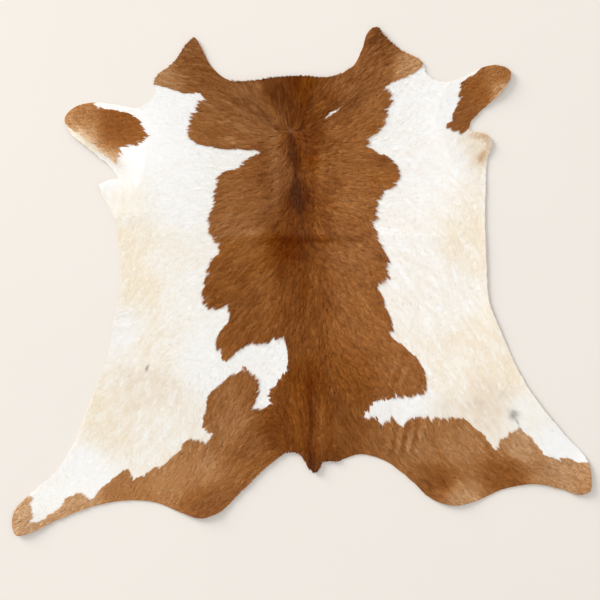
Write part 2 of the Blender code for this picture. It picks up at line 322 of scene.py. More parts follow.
Lay = namedtuple("Lay", "name x y heading")
LAYS = (
    Lay("neck", -20, 340, 90),
    Lay("neck, left", -80, 330, 122),
    Lay("neck, right", 45, 330, 58),
    Lay("left cheek root", -140, 345, 158),
    Lay("left cheek", -195, 375, 172),
    Lay("left cheek corner", -240, 335, 178),
    Lay("right cheek root", 105, 350, 38),
    Lay("right cheek", 140, 400, 28),
    Lay("right cheek corner", 195, 365, 15),
    Lay("crest", -20, 290, 88),
    Lay("left of the whorl", -75, 275, 146),
    Lay("right of the whorl", 30, 275, 25),
    Lay("left shoulder", -130, 260, 175),
    Lay("right shoulder", 110, 270, 25),
    Lay("withers, behind the whorl", -18, 232, 270),
    Lay("left withers", -60, 225, 196),
    Lay("right withers", 35, 225, 12),
    Lay("left shoulder blade", -120, 215, 186),
    Lay("right shoulder blade", 110, 215, 354),
    Lay("spine at the chest", -10, 145, 280),
    Lay("beside the spine at the chest, left", -50, 145, 208),
    Lay("beside the spine at the chest, right", 40, 145, 338),
    Lay("left ribs", -120, 140, 206),
    Lay("right ribs", 110, 140, 346),
    Lay("spine at the waist", -6, 60, 277),
    Lay("beside the spine at the waist, left", -50, 60, 214),
    Lay("beside the spine at the waist, right", 45, 60, 330),
    Lay("left waist", -130, 60, 216),
    Lay("right waist", 120, 60, 322),
    Lay("spine at the loin", -2, -30, 270),
    Lay("left loin", -80, -30, 230),
    Lay("right loin", 80, -30, 310),
    Lay("left loin, outer", -150, -30, 224),
    Lay("right loin, outer", 150, -30, 314),
    Lay("spine at the hips", 3, -120, 270),
    Lay("left hip", -70, -95, 240),
    Lay("right hip", 90, -110, 320),
    Lay("right hip, outer", 170, -130, 312),
    Lay("right hip, lowest", 180, -185, 292),
    Lay("rump", 8, -200, 281),
    Lay("rump, low", 8, -270, 283),
    Lay("tail", 20, -320, 275),
    Lay("left chest", -220, 205, 186),
    Lay("left chest, low", -240, 140, 215),
    Lay("left flank", -290, 110, 250),
    Lay("left flank, middle", -285, 30, 252),
    Lay("left flank, inner", -220, 50, 228),
    Lay("left flank, low", -280, -60, 232),
    Lay("left belly", -300, -140, 235),
    Lay("left belly, inner", -210, -110, 232),
    Lay("right chest", 200, 215, 352),
    Lay("right chest, low", 230, 140, 325),
    Lay("right flank", 280, 110, 292),
    Lay("right flank, middle", 285, 30, 290),
    Lay("right flank, inner", 210, 50, 315),
    Lay("right flank, low", 280, -60, 310),
    Lay("right belly", 320, -150, 300),
    Lay("right belly, inner", 230, -120, 302),
    Lay("left leg, tip", -390, 280, -20),
    Lay("left leg", -320, 262, -8),
    Lay("left armpit", -320, 205, -35),
    Lay("right leg, tip", 340, 355, 222),
    Lay("right leg", 295, 310, 215),
    Lay("right armpit", 300, 240, 235),
    Lay("left hind leg, tip", -470, -405, 24),
    Lay("left hind leg", -380, -360, 34),
    Lay("left hind leg, upper side", -400, -310, 45),
    Lay("left thigh", -290, -320, 50),
    Lay("left thigh, upper side", -290, -240, 48),
    Lay("left rump", -200, -330, 52),
    Lay("left rump, outer", -170, -260, 70),
    Lay("left buttock", -170, -390, 30),
    Lay("left hip lobe", -120, -190, 58),
    Lay("left rump, inner", -90, -290, 38),
    Lay("right hind leg, tip", 475, -345, 156),
    Lay("right hind leg", 400, -320, 146),
    Lay("right hind leg, upper side", 420, -270, 130),
    Lay("right thigh", 310, -310, 140),
    Lay("right thigh, upper side", 330, -240, 128),
    Lay("right rump", 230, -310, 139),
    Lay("right rump, upper", 215, -250, 100),
    Lay("right buttock", 260, -365, 140),
    Lay("right rump, inner", 110, -280, 118),
    Lay("right rump, upper inner", 140, -240, 105),
)
LAY_REACH = 26 * MM


def blended(rows, values, reach, x, y):
    """Values given at named places, blended over the plan, the nearest place counting most."""
    total = np.zeros_like(x)
    weights = np.zeros_like(x)
    for row, value in zip(rows, values):
        apart = (x - row.x * MM) ** 2 + (y - row.y * MM) ** 2
        weight = 1 / (apart + reach**2) ** 2
        total += weight * value
        weights += weight
    return total / weights


headings = np.radians([lay.heading for lay in LAYS])
lay_x = blended(LAYS, np.cos(headings), LAY_REACH, broad_x, broad_y)
lay_y = blended(LAYS, np.sin(headings), LAY_REACH, broad_x, broad_y)
lay_length = np.maximum(np.hypot(lay_x, lay_y), 1e-6)
lay_x = read(lay_x / lay_length, fine_x, fine_y)
lay_y = read(lay_y / lay_length, fine_x, fine_y)


def nearest(chart, x, y):
    """What a chart says at the point nearest to a place, which is quicker than read."""
    rows, columns = chart.shape
    column = (x - plan_low[0]) / (plan_high[0] - plan_low[0]) * (columns - 1) + 0.5
    row = (y - plan_low[1]) / (plan_high[1] - plan_low[1]) * (rows - 1) + 0.5
    return chart[np.clip(row, 0, rows - 1).astype(np.int32), np.clip(column, 0, columns - 1).astype(np.int32)]


def combed(seed, grain, steps):
    """Streaks that follow the lie of the hair: noise of a given grain, drawn out by some steps each way."""
    start_x, start_y = plan_points(grain)
    noise = softened(np.random.default_rng(seed).standard_normal(start_x.shape), 1)
    drawn = noise.copy()
    for way in (1, -1):
        x, y = start_x.copy(), start_y.copy()
        for _ in range(steps):
            step_x = nearest(lay_x, x, y)
            step_y = nearest(lay_y, x, y)
            x += way * grain * step_x
            y += way * grain * step_y
            drawn += nearest(noise, x, y)
    return read(drawn / drawn.std(), fine_x, fine_y)


fine_streaks = combed(11, 1.0 * MM, 7)
lock_streaks = combed(12, 2.2 * MM, 5)
broad_streaks = combed(13, 7 * MM, 6)


# The coat's colours. Brown runs from dark chestnut on the spine to sandy tan at the legs, and is redder where
# the hair is glossy; its greyer, less red hair is partly a duller coat and partly painted sheen where it
# catches the light. White runs to cream on the flanks, with a greyish mottle low on each side, and its grey
# also carries painted shade on the right side, away from the lamp.

Shade = namedtuple("Shade", "name x y tone red")
BROWN_SHADES = (
    Shade("neck", -3, 331, 0.20, 1.0),
    Shade("neck, left", -81, 322, 0.67, 0.1),
    Shade("neck, right", 75, 339, 0.57, 0.3),
    Shade("left cheek tip", -186, 408, 0.62, 0.0),
    Shade("left cheek", -176, 374, 0.50, 0.2),
    Shade("left cheek corner", -236, 351, 0.85, 0.5),
    Shade("right cheek tip", 128, 427, 0.33, 0.0),
    Shade("right cheek", 126, 391, 0.56, 0.3),
    Shade("right cheek corner", 187, 372, 0.88, 0.5),
    Shade("left shoulder", -124, 279, 0.74, 0.5),
    Shade("left shoulder, lower", -167, 261, 0.68, 0.6),
    Shade("left of the whorl", -69, 270, 0.65, 0.2),
    Shade("neck, left of the crest", -48, 328, 0.24, 0.3),
    Shade("neck, right of the crest", 26, 312, 0.36, 0.5),
    Shade("right shoulder", 75, 261, 0.57, 0.4),
    Shade("right shoulder, upper", 132, 305, 0.63, 0.4),
    Shade("right shoulder, edge", 144, 192, 0.58, 0.6),
    Shade("crest", 0, 300, 0.2, 0.7),
    Shade("withers", 0, 261, 0.23, 0.6),
    Shade("spine behind the withers", 0, 210, 0.2, 0.5),
    Shade("beside the withers, left", -32, 190, 0.47, 0.1),
    Shade("beside the withers, right", 38, 190, 0.50, 0.3),
    Shade("spine at the chest", 4, 140, 0.06, 0.4),
    Shade("spine at the fold", 2, 89, 0.2, 0.4),
    Shade("left ribs", -98, 140, 0.67, 0.5),
    Shade("left ribs, above the fold", -115, 97, 0.68, 0.1),
    Shade("left, below the fold", -115, 54, 0.61, 0.9),
    Shade("dark below the fold", -25, 55, 0.13, 1.0),
    Shade("left waist", -124, 2, 0.50, 0.6),
    Shade("left loin", -90, -50, 0.51, 0.6),
    Shade("right ribs, upper", 83, 201, 0.66, 0.5),
    Shade("right ribs", 83, 140, 0.66, 0.4),
    Shade("right ribs, above the fold", 83, 92, 0.53, 0.2),
    Shade("right waist, upper", 83, 45, 0.61, 0.2),
    Shade("right waist", 92, -15, 0.60, 0.4),
    Shade("right loin", 109, -84, 0.62, 0.5),
    Shade("spine at the waist", -3, 20, 0.32, 0.6),
    Shade("spine at the loin", 0, -32, 0.36, 0.6),
    Shade("spine at the hips", 6, -101, 0.46, 0.6),
    Shade("spine at the rump", 11, -171, 0.30, 0.8),
    Shade("rump", 6, -240, 0.36, 0.6),
    Shade("rump, low", 7, -292, 0.30, 0.6),
    Shade("right hip", 170, -153, 0.61, 0.3),
    Shade("right hip, edge", 201, -179, 0.63, 0.4),
    Shade("right of the rump", 83, -171, 0.45, 0.7),
    Shade("left hip", -124, -205, 0.70, 0.5),
    Shade("left hip, low", -124, -248, 0.76, 0.2),
    Shade("left rump", -176, -326, 0.80, 0.2),
    Shade("left buttock", -167, -387, 0.58, 0.3),
    Shade("left rump, outer", -228, -343, 0.81, 0.3),
    Shade("left thigh", -297, -361, 0.76, 0.3),
    Shade("left rump, inner", -90, -292, 0.62, 0.4),
    Shade("left of the rump", -38, -257, 0.35, 0.8),
    Shade("right rump, inner", 75, -266, 0.49, 0.5),
    Shade("right rump, ribs", 144, -274, 0.68, 0.4),
    Shade("right rump, behind the ribs", 204, -283, 0.79, 0.5),
    Shade("right rump, outer", 273, -292, 0.84, 0.6),
    # Painted shade: the dip in the right rump is darkened in the colour.
    Shade("right rump hollow", 239, -347, 0.53, 0.5),
    Shade("right buttock", 268, -374, 0.89, 0.3),
    Shade("right thigh, lower side", 351, -326, 0.56, 0.6),
    Shade("right thigh", 377, -292, 0.92, 0.5),
    Shade("right hind leg", 446, -330, 0.905, 0.4),
    Shade("right hind leg tip", 486, -347, 0.87, 0.4),
    Shade("left hind leg tip", -483, -404, 0.935, 0.5),
    Shade("left hind leg", -387, -381, 0.90, 0.4),
    Shade("left front leg", -314, 270, 0.49, 0.6),
    Shade("left front leg tip", -392, 287, 0.79, 0.6),
    Shade("left front leg, lower side", -378, 249, 0.90, 0.5),
    Shade("left front leg, by the armpit", -322, 196, 0.95, 0.5),
    Shade("right front leg", 308, 322, 0.56, 0.8),
    Shade("right front leg tip", 342, 362, 0.71, 0.7),
    Shade("right front leg, end", 282, 287, 0.53, 0.3),
    Shade("right front leg, lower side", 342, 326, 0.92, 0.4),
    Shade("tail", 23, -318, 0.2, 0.2),
)

# Strokes of darker, lighter or redder hair that are too narrow for the shades above, and strokes of painted
# light and shade on the fold, ripples, ribs and grooves.
Stroke = namedtuple("Stroke", "name x y half_length half_width turn tone red")
STROKES = (
    Stroke("parting on the withers", -12, 208, 60, 7, 96, -0.26, -0.2),
    Stroke("dark of the spine at the chest", -10, 150, 26, 10, 98, -0.28, -0.7),
    Stroke("parting at the chest", -2, 118, 34, 5, 96, -0.10, -0.2),
    Stroke("ash beside the parting", -30, 198, 34, 8, 92, 0.04, -0.6),
    Stroke("lighter left of the spine", -46, 182, 82, 10, 93, 0.20, -0.2),
    Stroke("red beside the parting, right", 22, 205, 34, 7, 88, -0.12, 0.4),
    Stroke("lighter right of the spine", 28, 112, 56, 11, 90, 0.18, 0.1),
    Stroke("ash right of the spine", 36, 205, 34, 5, 90, 0.06, -0.1),
    Stroke("dark behind the left shoulder", -66, 116, 26, 12, 62, -0.12, -0.5),
    Stroke("crest, left edge", -36, 296, 34, 8, 112, 0.04, -0.4),
    Stroke("neck, left edge of the band", -46, 322, 16, 9, 90, -0.10, 0.1),
    Stroke("left of the neck", -84, 300, 30, 14, 20, 0.06, 0.0),
    Stroke("right of the neck", 34, 290, 30, 7, 84, 0.06, 0.1),
    # Painted shadow below the fold, and painted highlights on its upper side.
    Stroke("shadow below the fold", -10, 70, 88, 5, 0, -0.14, 0.5),
    Stroke("light along the fold", -60, 84, 60, 5, 2, 0.05, -0.1),
    Stroke("light along the fold, right", 60, 86, 60, 5, -2, 0.04, -0.1),
    Stroke("lighter left of the waist", -60, 22, 78, 22, 95, 0.18, 0.1),
    Stroke("lighter right of the loin", 24, -4, 40, 7, 90, 0.12, 0.0),
    Stroke("spine at the loin", 2, -70, 90, 5, 92, -0.06, 0.1),
    Stroke("spine at the rump", 14, -200, 60, 6, 90, -0.12, 0.2),
    # Painted shade in the grooves before the tail, and a painted highlight on the ridge between them.
    Stroke("groove before the tail", 15, -264, 58, 4, 88, -0.20, 0.0),
    Stroke("ridge before the tail", 34, -258, 44, 7, 90, 0.09, -0.1),
    Stroke("second groove before the tail", 50, -262, 34, 4, 92, -0.12, 0.1),
    Stroke("tail", 24, -330, 26, 8, 110, -0.12, -0.3),
    Stroke("pale edge of the left leg", -362, 236, 66, 9, -47, 0.12, 0.0),
    Stroke("pale edge of the right leg", 352, 326, 46, 8, 50, 0.10, 0.0),
    # Painted light on the right hip's ripples, and painted shade in the hollow between them.
    Stroke("right hip ripple", 158, -152, 26, 3.5, 66, 0.10, -0.2),
    Stroke("right hip, second ripple", 178, -160, 26, 3.5, 66, 0.10, -0.2),
    Stroke("right hip, hollow", 168, -156, 26, 4, 66, -0.08, 0.0),
    # Painted light on the right rump's ribs, and painted shade in the hollows between them.
    Stroke("right rump, first rib", 150, -272, 24, 4, 80, 0.07, -0.1),
    Stroke("right rump, first hollow", 159, -272, 26, 3.5, 79, -0.10, 0.0),
    Stroke("right rump, second rib", 168, -272, 26, 4, 78, 0.07, -0.1),
    Stroke("right rump, second hollow", 177, -274, 26, 3.5, 77, -0.10, 0.0),
    Stroke("right rump, third rib", 186, -276, 26, 4, 76, 0.07, -0.1),
    Stroke("right rump, third hollow", 196, -278, 26, 3.5, 75, -0.10, 0.0),
    Stroke("right rump, fourth rib", 206, -278, 24, 4, 74, 0.06, -0.1),
    Stroke("right rump, fourth hollow", 216, -278, 22, 3.5, 73, -0.06, 0.0),
    Stroke("left hip shine", -128, -200, 30, 14, 70, 0.05, -0.1),
)
White = namedtuple("White", "name x y cream grey")
WHITE_SHADES = (
    White("left shoulder", -228, 270, 0.0, 0.1),
    White("left chest", -210, 140, 0.05, 0.1),
    White("left waist, inner", -193, -15, 0.25, 0.0),
    White("left loin", -176, -136, 0.1, 0.0),
    White("left elbow", -316, 135, 0.6, 0.0),
    White("left flank", -297, 54, 0.85, 0.1),
    White("left flank, low", -280, 2, 1.0, 0.1),
    White("left flank, inner", -245, 30, 0.45, 0.0),
    White("left belly", -262, -119, 0.6, 0.1),
    White("left belly, outer", -318, -90, 0.1, 0.2),
    White("left belly, low", -266, -188, 0.7, 0.7),
    White("left thigh, upper side", -331, -240, 0.8, 0.2),
    White("left thigh, outer", -383, -326, 0.1, 0.0),
    White("left rump, outer", -245, -240, 0.45, 0.2),
    White("bay", -64, -136, 0.05, 0.1),
    White("left front leg, lower edge", -372, 240, 1.0, 0.3),
    White("left front leg, above the armpit", -326, 192, 0.15, 0.1),
    White("left armpit corner", -336, 170, 0.1, 0.0),
    White("left front leg, upper side", -320, 302, 0.0, 0.1),
    White("left front leg, by the patch", -288, 222, 0.0, 0.0),
    White("left front leg, root", -262, 262, 0.0, 0.0),
    # On the right-hand rows the grey is partly real mottle and partly painted shade, as that side lies away
    # from the lamp.
    White("right front leg, root", 240, 300, 0.0, 0.15),
    White("right chest, upper", 258, 215, 0.1, 0.2),
    White("right shoulder", 204, 296, 0.0, 0.2),
    White("right chest", 222, 175, 0.0, 0.3),
    White("right waist, inner", 187, 54, 0.15, 0.35),
    White("right flank, inner", 239, -32, 0.25, 0.35),
    White("right flank", 299, 80, 0.9, 0.3),
    White("right chest, outer", 304, 166, 0.5, 0.3),
    White("right armpit", 312, 228, 1.0, 0.8),
    White("right belly", 317, -110, 0.75, 0.25),
    White("right belly, low", 342, -153, 0.95, 0.3),
    White("right belly mottle", 325, -188, 0.9, 1.0),
    White("right thigh, upper side", 394, -222, 0.3, 0.0),
    White("right thigh, outer", 455, -283, 0.0, 0.0),
    White("right loin", 170, -219, 0.05, 0.1),
    White("right belly, inner", 273, -153, 0.6, 0.25),
)
SHADE_REACH = 16 * MM


def over_plan(rows, column):
    """A fine chart of one column of a table of named places."""
    values = [getattr(row, column) for row in rows]
    return read(blended(rows, values, SHADE_REACH, broad_x, broad_y), fine_x, fine_y)


brown_tone = over_plan(BROWN_SHADES, "tone")
# Less red means greyer hair: partly a duller coat, partly painted sheen where the hair catches the light.
brown_red = over_plan(BROWN_SHADES, "red")
white_cream = over_plan(WHITE_SHADES, "cream")
# The grey is partly a real mottle and partly painted shade on the right side, away from the lamp.
white_grey_and_shade = over_plan(WHITE_SHADES, "grey")

for stroke in STROKES:
    share = spindle(stroke, fine_x, fine_y)
    brown_tone += stroke.tone * share
    brown_red += stroke.red * share

# Where the hair is streakier and stands looser than elsewhere, or, below 0, lies calmer and closer.
Temper = namedtuple("Temper", "name x y half_length half_width turn liveliness")
TEMPERS = (
    Temper("left of the crest", -85, 292, 78, 48, 0, 0.9),
    Temper("right of the crest", 60, 320, 60, 34, 30, 0.4),
    Temper("left cheek", -185, 375, 50, 45, 80, 0.6),
    Temper("right cheek", 125, 395, 55, 40, 70, 0.4),
    Temper("left front leg", -340, 262, 75, 42, -8, -0.5),
    Temper("right front leg", 308, 325, 60, 40, 45, -0.4),
    Temper("left thigh and buttock", -240, -360, 105, 44, 8, -0.9),
    Temper("left hind leg", -420, -385, 90, 40, 20, -0.7),
    Temper("left leg root", -268, 265, 60, 60, 90, -0.9),
    Temper("left armpit", -322, 180, 45, 45, 0, -0.8),
    Temper("left chest", -220, 190, 70, 50, 0, -0.5),
    Temper("right shoulder and chest", 215, 250, 110, 60, 90, -0.6),
)
liveliness = np.zeros(fine_x.shape)
for temper in TEMPERS:
    liveliness += temper.liveliness * spindle(temper, fine_x, fine_y)

# Streaks fade where the coat is pale, because pale hair lies on pale skin.
streakiness = np.clip(2.1 - 2 * brown_tone, 0.25, 1) * (1 + liveliness)
brown_tone += streakiness * (0.045 * fine_streaks + 0.032 * lock_streaks + 0.03 * broad_streaks)
brown_red += 0.12 * broad_streaks

# White hair is even where it is clean, and streaky where it carries stains and where painted shade greys it.
stained_and_shaded = np.clip(white_cream + 0.5 * white_grey_and_shade, 0, 1)
white_cream += (0.02 + 0.09 * stained_and_shaded) * fine_streaks + (0.02 + 0.1 * stained_and_shaded) * lock_streaks
white_grey_and_shade = white_grey_and_shade * (0.55 + 0.2 * lock_streaks) + 0.05 * stained_and_shaded * fine_streaks


class Socket:
    """A node's output that reads like a number: sums and products on it add Math nodes."""

    def __init__(self, finish, output):
        self.finish = finish
        self.output = output

    def math(self, operation, first, second):
        return self.finish.node("Math", {"operation": operation}, {0: first, 1: second})

    def __add__(self, other):
        return self.math("ADD", self, other)

    def __radd__(self, other):
        return self.math("ADD", other, self)

    def __sub__(self, other):
        return self.math("SUBTRACT", self, other)

    def __rsub__(self, other):
        return self.math("SUBTRACT", other, self)

    def __mul__(self, other):
        return self.math("MULTIPLY", self, other)

    def __rmul__(self, other):
        return self.math("MULTIPLY", other, self)


class Finish:
    """One material and its nodes."""

    def __init__(self, name):
        self.material = bpy.data.materials.new(name)
        self.material.use_nodes = True
        self.tree = self.material.node_tree
        self.shader = self.tree.nodes["Principled BSDF"]

    def node(self, kind, settings, sockets, out=0):
        """Adds a node, sets it up, feeds its sockets, and gives one of its outputs."""
        made = self.tree.nodes.new("ShaderNode" + kind)
        for name, value in settings.items():
            if name == "stops":
                self.set_stops(made.color_ramp, value)
            else:
                setattr(made, name, value)
        for name, value in sockets.items():
            self.feed(made.inputs[name], value)
        return Socket(self, made.outputs[out])

    def set_stops(self, ramp, stops):
        while len(ramp.elements) < len(stops):
            ramp.elements.new(0.5)
        for element, (position, colour) in zip(ramp.elements, stops):
            element.position = position
            element.color = colour

    def feed(self, socket, value):
        if isinstance(value, Socket):
            self.tree.links.new(value.output, socket)
        else:
            socket.default_value = value

    def mix(self, share, first, second):
        """Two colours mixed."""
        return self.node("Mix", {"data_type": "RGBA"}, {0: share, 6: first, 7: second}, out=2)

    def attribute(self, name):
        """A number kept on the mesh."""
        return self.node("Attribute", {"attribute_name": name}, {}, out=2)

    def grain(self, scale, detail):
        """Noise that stays put on the object."""
        place = self.node("TexCoord", {}, {}, out=3)
        return self.node("TexNoise", {}, {"Vector": place, "Scale": scale, "Detail": detail})


def colour(red, green, blue):
    """A colour as a screen shows it, in the linear light that a shader takes."""
    shown = np.array((red, green, blue)) / 255
    linear = np.where(shown <= 0.04045, shown / 12.92, ((shown + 0.055) / 1.055) ** 2.4)
    return (*(float(part) for part in linear), 1.0)


GLOSSY = (
    (0.0, colour(95, 38, 0)),
    (0.2, colour(116, 54, 2)),
    (0.4, colour(136, 75, 19)),
    (0.55, colour(154, 92, 36)),
    (0.7, colour(170, 110, 54)),
    (0.8, colour(184, 128, 74)),
    (0.9, colour(202, 152, 102)),
    (1.0, colour(230, 196, 156)),
)
# The greyer ramp: partly a duller coat, partly painted sheen where the hair catches the light.
DULL_AND_SHEENED = (
    (0.0, colour(86, 46, 22)),
    (0.2, colour(114, 65, 30)),
    (0.4, colour(136, 83, 42)),
    (0.55, colour(154, 98, 54)),
    (0.7, colour(168, 113, 67)),
    (0.8, colour(184, 132, 85)),
    (0.9, colour(201, 155, 111)),
    (1.0, colour(230, 198, 162)),
)


def brown_colour(finish, strand):
    """Brown hair, dark to sandy by its tone, and redder where it is glossy; its greyer side is partly painted
    sheen.
    """
    tone = finish.attribute("tone") + (strand - 0.5) * 0.08
    dull_and_sheened = finish.node("ValToRGB", {"stops": DULL_AND_SHEENED}, {"Fac": tone})
    glossy = finish.node("ValToRGB", {"stops": GLOSSY}, {"Fac": tone})
    return finish.mix(finish.attribute("red"), dull_and_sheened, glossy)


def white_colour(finish, strand):
    """White hair, yellowing to cream, with a greyish mottle that also carries painted shade, and a few ashy
    marks.
    """
    clean = finish.mix(finish.attribute("cream"), colour(245, 246, 246), colour(240, 229, 207))
    # Greyish: a real mottle, and on the right side painted shade.
    mottled_and_shaded = finish.mix(finish.attribute("grey"), clean, colour(225, 210, 194))
    tanned = finish.mix(finish.attribute("tan"), mottled_and_shaded, colour(200, 166, 130))
    ashy = finish.mix(finish.attribute("ash"), tanned, colour(92, 84, 84))
    return finish.mix(strand * 0.05, ashy, colour(240, 230, 214))


# The skin's three faces are tinted as one dressed hide: the roots' bed above takes the coat's colour,
# darkened as painted shade under the hair; the suede below is pale tan with a soft nap; and the cut rim is
# paler and smoother.

bpy.ops.object.modifier_add(type="SOLIDIFY")
skin.modifiers[0].thickness = SKIN_THICKNESS
skin.modifiers[0].offset = 1

bed = Finish("roots_bed")
bed_grain = bed.grain(900, 3)
bed_colour = bed.mix(bed.attribute("brown"), white_colour(bed, bed_grain), brown_colour(bed, bed_grain))
bed.feed(bed.shader.inputs["Base Color"], bed_colour)
bed.feed(bed.shader.inputs["Roughness"], 0.75 + 0.2 * bed_grain)
bed.feed(bed.shader.inputs["Normal"], bed.node("Bump", {}, {"Height": bed_grain, "Distance": 0.0004}))

suede = Finish("suede_underside")
nap = suede.grain(1400, 4)
cloud = suede.grain(14, 3)
suede_colour = suede.node(
    "ValToRGB",
    {"stops": ((0.3, colour(186, 168, 146)), (0.55, colour(208, 192, 170)), (0.75, colour(221, 209, 190)))},
    {"Fac": cloud * 0.7 + nap * 0.3},
)
suede.feed(suede.shader.inputs["Base Color"], suede_colour)
suede.feed(suede.shader.inputs["Roughness"], 0.85 + 0.12 * nap)
suede.feed(suede.shader.inputs["Normal"], suede.node("Bump", {}, {"Height": nap, "Distance": 0.0005}))

cut = Finish("cut_rim")
cut_grain = cut.grain(2200, 2)
cut.feed(cut.shader.inputs["Base Color"], cut.mix(cut_grain, colour(190, 170, 146), colour(214, 198, 176)))
cut.feed(cut.shader.inputs["Roughness"], 0.6 + 0.2 * cut_grain)
cut.feed(cut.shader.inputs["Normal"], cut.node("Bump", {}, {"Height": cut_grain, "Distance": 0.0002}))

for finish in (bed, suede, cut):
    skin_mesh.materials.append(finish.material)
for name, chart in (
    ("brown", softened(brown, 2)),
    # The bed's brown is darkened by a tenth: painted shade under the hair.
    ("tone", brown_tone * 0.9),
    ("red", brown_red),
    ("cream", white_cream),
    ("grey", white_grey_and_shade),
    ("tan", 0 * brown),
    ("ash", 0 * brown),
):
    number = skin_mesh.attributes.new(name, "FLOAT", "POINT")
    number.data.foreach_set("value", read(chart, places[:, 0], places[:, 1]).astype(np.float32))
bpy.ops.object.modifier_apply(modifier=skin.modifiers[0].name)
bpy.ops.object.shade_smooth_by_angle(angle=CUT_CORNER, keep_sharp_edges=False)
for face in skin_mesh.polygons:
    face.material_index = 0 if face.normal.z > 0.5 else 1 if face.normal.z < -0.5 else 2
skin.select_set(False)


# The coat: short straight cattle hair, lying flat and gathered in small pointed locks. It is longer on the
# back, shorter on belly and legs, and trimmed with the skin at the rim. A blade stands for a few hairs.

LOCK_SPACING = 6.5 * MM
BACK_LENGTH = 16 * MM
LEG_LENGTH = 12 * MM
BACK_HEIGHT = 2.5 * MM
LEG_HEIGHT = 1.6 * MM
BACK_HALF_WIDTH = 0.19
LOCK_SCATTER = 0.8
LOCK_UNEVENNESS = 0.16
BEND_AT = 0.42
MARKING_AT = 0.72
SHORTEST_CUT = 0.15

# How far inside the rim's soft edge, from 0 outside to 1, a root has to be: anywhere, and where the hair runs
# well inside over a short reach.
ROOT_DEPTH = 0.42
INWARD_ROOT_DEPTH = 0.12
INWARD_DEPTH = 0.8
INWARD_REACH = 3.5 * MM

rng = np.random.default_rng(5)


def scattered(spacing):
    """Places all over the hide, one at random in each square, up to the rim where hair runs inwards."""
    columns, rows = (int(n) for n in (plan_high - plan_low) / spacing)
    column, row = np.meshgrid(np.arange(columns), np.arange(rows))
    x = plan_low[0] + (column.ravel() + rng.random(columns * rows)) * spacing
    y = plan_low[1] + (row.ravel() + rng.random(columns * rows)) * spacing
    depth = read(within_rim, x, y)
    ahead = read(within_rim, x + INWARD_REACH * read(lay_x, x, y), y + INWARD_REACH * read(lay_y, x, y))
    inside = (depth > ROOT_DEPTH) | ((depth > INWARD_ROOT_DEPTH) & (ahead > INWARD_DEPTH))
    return x[inside], y[inside]


lock_columns, lock_rows = (int(n) + 2 for n in (plan_high - plan_low) / LOCK_SPACING)
lock_column, lock_row = np.meshgrid(np.arange(lock_columns), np.arange(lock_rows))
lock_x = lock_column + 0.5 + LOCK_SCATTER * (rng.random(lock_column.shape) - 0.5)
lock_y = lock_row + 0.5 + LOCK_SCATTER * (rng.random(lock_column.shape) - 0.5)
lock_x = plan_low[0] + lock_x * LOCK_SPACING
lock_y = plan_low[1] + lock_y * LOCK_SPACING
lock_turn = rng.standard_normal(lock_column.shape)
lock_rise = rng.standard_normal(lock_column.shape)
lock_shade = rng.standard_normal(lock_column.shape)
lock_reach = 1 + LOCK_UNEVENNESS * rng.standard_normal(lock_column.shape)


def lock_of(x, y):
    """Which lock each root belongs to: the one whose middle is nearest."""
    column = ((x - plan_low[0]) / LOCK_SPACING).astype(np.int32)
    row = ((y - plan_low[1]) / LOCK_SPACING).astype(np.int32)
    best = np.full(x.shape, np.inf)
    best_column, best_row = column.copy(), row.copy()
    for step_row in (-1, 0, 1):
        for step_column in (-1, 0, 1):
            next_column = np.clip(column + step_column, 0, lock_columns - 1)
            next_row = np.clip(row + step_row, 0, lock_rows - 1)
            apart = (lock_x[next_row, next_column] - x) ** 2 + (lock_y[next_row, next_column] - y) ** 2
            nearer = apart < best
            best = np.where(nearer, apart, best)
            best_column = np.where(nearer, next_column, best_column)
            best_row = np.where(nearer, next_row, best_row)
    return best_row, best_column


# How each colour of hair grows: its spacing and width, how far it leans in to the lock's point, how unevenly
# the locks and the hairs stand, how many degrees a lock turns and a hair rolls about its own length, and how
# high it stands for its place on the hide.
Growth = namedtuple("Growth", "spacing width lean unevenness ruffle swing roll loft")
BROWN_GROWTH = Growth(1.04 * MM, 1.1 * MM, 0.5, 0.15, 0.1, 7, 16, 1)
WHITE_GROWTH = Growth(1.36 * MM, 1.8 * MM, 0.1, 0.02, 0.04, 3, 2.5, 0.45)


